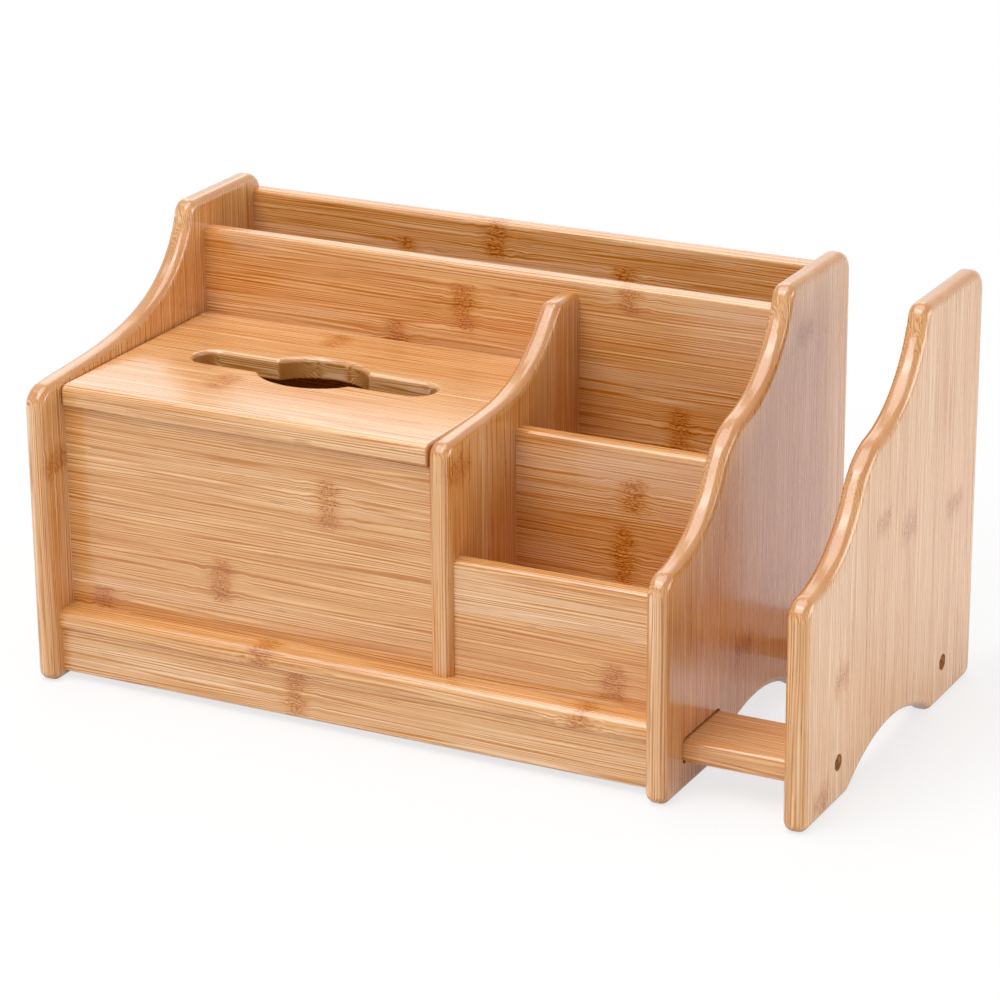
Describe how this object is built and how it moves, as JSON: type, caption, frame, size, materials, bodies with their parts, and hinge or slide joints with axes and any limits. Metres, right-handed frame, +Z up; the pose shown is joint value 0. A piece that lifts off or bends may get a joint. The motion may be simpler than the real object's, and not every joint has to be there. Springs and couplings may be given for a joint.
{
  "type": "tissue box desk organiser",
  "caption": "Bamboo desk organiser: tissue box with a hinged slotted lid, letter rack, stepped trays and a pull-out book end on flat rails through the side panel.",
  "frame": {"origin": "middle of the footprint on the table, with the book end pulled out as drawn", "axes": "+X to the right, towards the pull-out end panel; +Y to the back; +Z up"},
  "size_m": [0.445, 0.23, 0.228],
  "materials": {
    "left_side_panel_bamboo": "clear semi-gloss lacquer on laminated bamboo",
    "right_side_panel_bamboo": "clear semi-gloss lacquer on laminated bamboo",
    "divider_panel_bamboo": "clear semi-gloss lacquer on laminated bamboo",
    "base_board_bamboo": "clear semi-gloss lacquer on laminated bamboo",
    "front_apron_bamboo": "clear semi-gloss lacquer on laminated bamboo",
    "tissue_front_panel_bamboo": "clear semi-gloss lacquer on laminated bamboo",
    "tray_front_panel_bamboo": "clear semi-gloss lacquer on laminated bamboo",
    "middle_partition_bamboo": "clear semi-gloss lacquer on laminated bamboo",
    "rear_partition_bamboo": "clear semi-gloss lacquer on laminated bamboo",
    "back_board_bamboo": "clear semi-gloss lacquer on laminated bamboo",
    "tissue_lid_bamboo": "clear semi-gloss lacquer on laminated bamboo",
    "end_panel_bamboo": "clear semi-gloss lacquer on laminated bamboo",
    "front_slide_rail_bamboo": "clear semi-gloss lacquer on laminated bamboo",
    "rear_slide_rail_bamboo": "clear semi-gloss lacquer on laminated bamboo",
    "slide_tie_bar_bamboo": "clear semi-gloss lacquer on laminated bamboo",
    "dowel_wood": "bare hardwood",
    "pin_steel": "zinc plated",
    "screw_steel": "zinc plated",
    "washer_steel": "zinc plated"
  },
  "bodies": {
    "case": {"left_side_panel": "left_side_panel_bamboo", "right_side_panel": "right_side_panel_bamboo", "divider_panel": "divider_panel_bamboo", "base_board": "base_board_bamboo", "front_apron": "front_apron_bamboo", "tissue_front_panel": "tissue_front_panel_bamboo", "tray_front_panel": "tray_front_panel_bamboo", "middle_partition": "middle_partition_bamboo", "rear_partition": "rear_partition_bamboo", "back_board": "back_board_bamboo", "joint_dowels": "dowel_wood", "lid_pivot_pins": "pin_steel", "guide_screws": "screw_steel", "guide_washers": "washer_steel"},
    "lid": {"tissue_lid": "tissue_lid_bamboo"},
    "book_end": {"end_panel": "end_panel_bamboo", "front_slide_rail": "front_slide_rail_bamboo", "rear_slide_rail": "rear_slide_rail_bamboo", "slide_tie_bar": "slide_tie_bar_bamboo", "end_panel_screws": "screw_steel", "tie_bar_screws": "screw_steel"}
  },
  "joints": [
    {"name": "lid_hinge", "type": "hinge", "parent": "case", "child": "lid", "pos_m": [-0.101, 0.0432, 0.1575], "axis": [-1, 0, 0], "range_deg": [0, 91]},
    {"name": "book_end_slide", "type": "slide", "parent": "case", "child": "book_end", "axis": [1, 0, 0], "range_m": [-0.0615, 0.15]}
  ]
}
